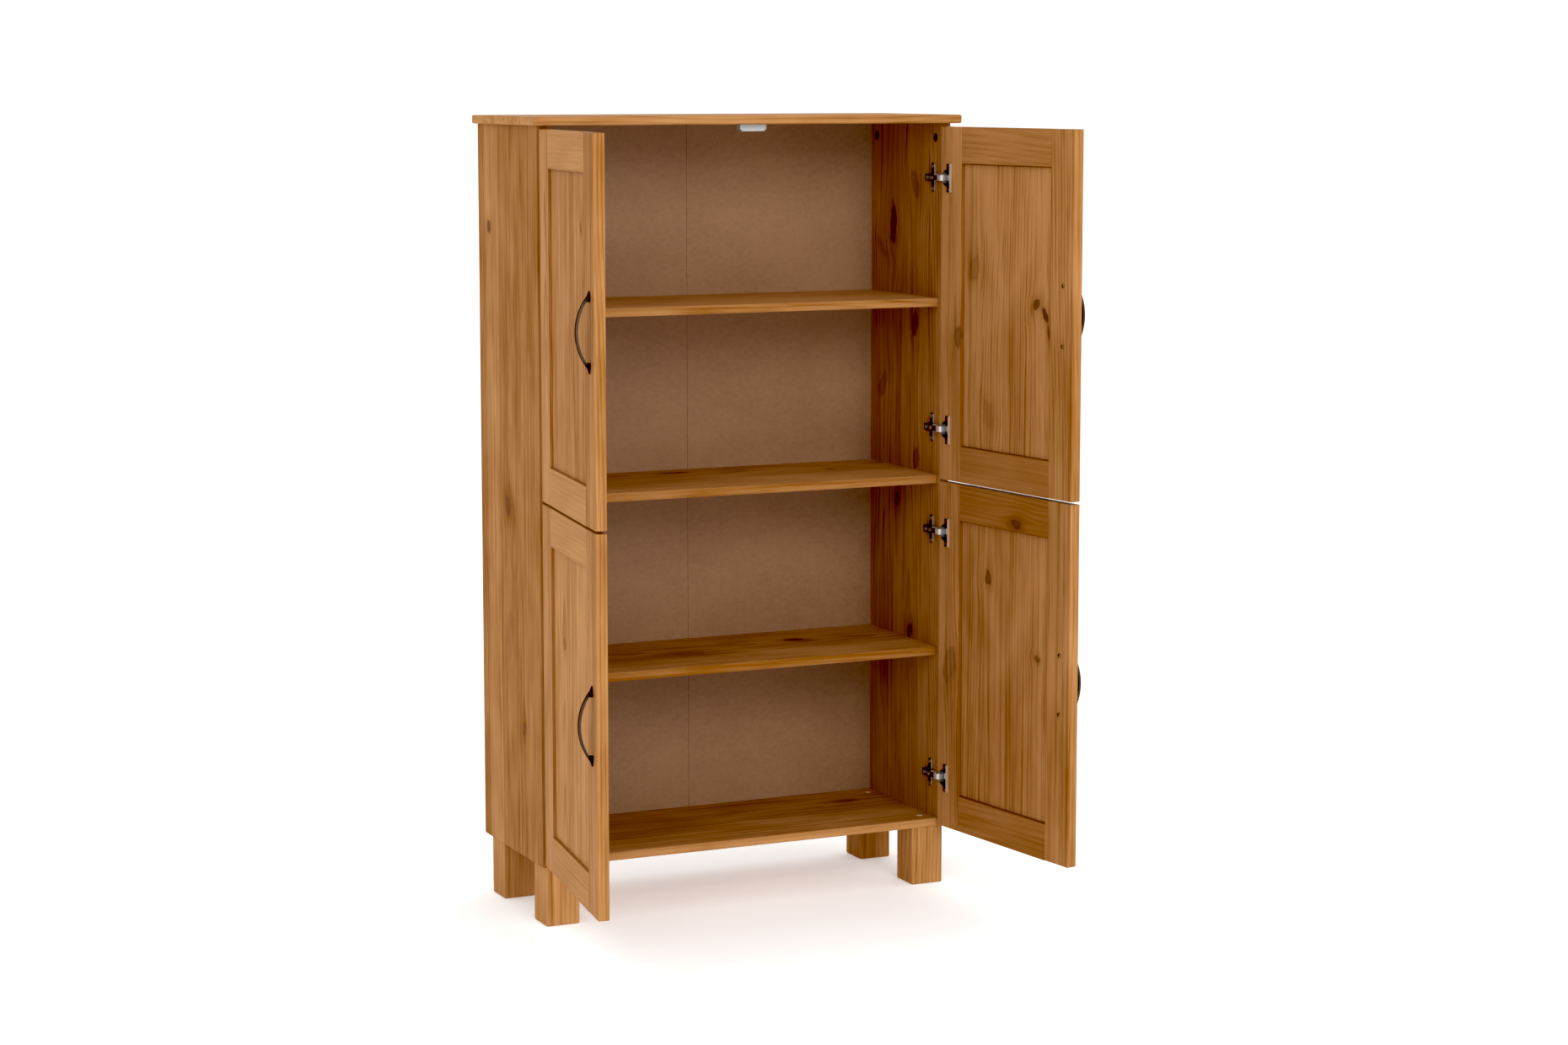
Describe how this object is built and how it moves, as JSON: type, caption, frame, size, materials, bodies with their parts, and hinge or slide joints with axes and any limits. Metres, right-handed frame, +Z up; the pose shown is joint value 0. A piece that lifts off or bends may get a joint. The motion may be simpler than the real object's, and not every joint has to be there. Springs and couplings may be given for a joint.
{
  "type": "bathroom cabinet",
  "caption": "Upright pine bathroom cabinet on square legs, with shelves and framed doors that swing on concealed hinges.",
  "frame": {"origin": "on the floor, under the middle of the whole with its doors open as at rest", "axes": "+X to the right seen from the front, +Y from the front to the back, +Z up"},
  "size_m": [0.8614, 0.6444, 1.3],
  "materials": {
    "pine": "honey stained and clear lacquered",
    "hardboard": "smooth brown hardboard",
    "beech": "raw",
    "bronze": "dark antique bronze",
    "zinc": "dull zinc",
    "dark_screw": "browned steel",
    "brown_fitting": "matt",
    "white_plastic": "satin"
  },
  "bodies": {
    "carcass": {"side_left": "pine", "side_right": "pine", "top_board": "pine", "bottom_board": "pine", "shelf_lower": "pine", "shelf_middle": "pine", "shelf_upper": "pine", "back_panel_left": "hardboard", "back_panel_right": "hardboard", "leg_front_left": "pine", "leg_front_right": "pine", "leg_back_left": "pine", "leg_back_right": "pine", "leg_screws": "zinc", "dowels": "beech", "cam_locks": "brown_fitting", "cam_bolts": "zinc", "back_nails": "zinc", "door_catch": "white_plastic", "wood_screws": "zinc", "hinge_plates": "zinc", "hinge_arms": "zinc", "arm_screws": "zinc"},
    "lower_left_door": {"lower_left_hinge_stile": "pine", "lower_left_handle_stile": "pine", "lower_left_top_rail": "pine", "lower_left_bottom_rail": "pine", "lower_left_panel": "pine", "lower_left_handle": "bronze", "lower_left_screws": "dark_screw", "lower_left_hinge_cups": "zinc", "lower_left_hinge_pins": "zinc"},
    "lower_right_door": {"lower_right_hinge_stile": "pine", "lower_right_handle_stile": "pine", "lower_right_top_rail": "pine", "lower_right_bottom_rail": "pine", "lower_right_panel": "pine", "lower_right_handle": "bronze", "lower_right_screws": "dark_screw", "lower_right_hinge_cups": "zinc", "lower_right_hinge_pins": "zinc"},
    "upper_left_door": {"upper_left_hinge_stile": "pine", "upper_left_handle_stile": "pine", "upper_left_top_rail": "pine", "upper_left_bottom_rail": "pine", "upper_left_panel": "pine", "upper_left_handle": "bronze", "upper_left_screws": "dark_screw", "upper_left_hinge_cups": "zinc", "upper_left_hinge_pins": "zinc"},
    "upper_right_door": {"upper_right_hinge_stile": "pine", "upper_right_handle_stile": "pine", "upper_right_top_rail": "pine", "upper_right_bottom_rail": "pine", "upper_right_panel": "pine", "upper_right_handle": "bronze", "upper_right_screws": "dark_screw", "upper_right_hinge_cups": "zinc", "upper_right_hinge_pins": "zinc"}
  },
  "joints": [
    {"name": "lower_left_door_swing", "type": "hinge", "parent": "carcass", "child": "lower_left_door", "pos_m": [-0.356, 0.03116, 0.396], "axis": [0, 0, -1], "range_deg": [-98, 0]},
    {"name": "lower_right_door_swing", "type": "hinge", "parent": "carcass", "child": "lower_right_door", "pos_m": [0.356, 0.03116, 0.396], "axis": [0, 0, 1], "range_deg": [-97.5, 0]},
    {"name": "upper_left_door_swing", "type": "hinge", "parent": "carcass", "child": "upper_left_door", "pos_m": [-0.356, 0.03116, 0.985], "axis": [0, 0, -1], "range_deg": [-98, 0]},
    {"name": "upper_right_door_swing", "type": "hinge", "parent": "carcass", "child": "upper_right_door", "pos_m": [0.356, 0.03116, 0.985], "axis": [0, 0, 1], "range_deg": [-97.5, 0]}
  ]
}
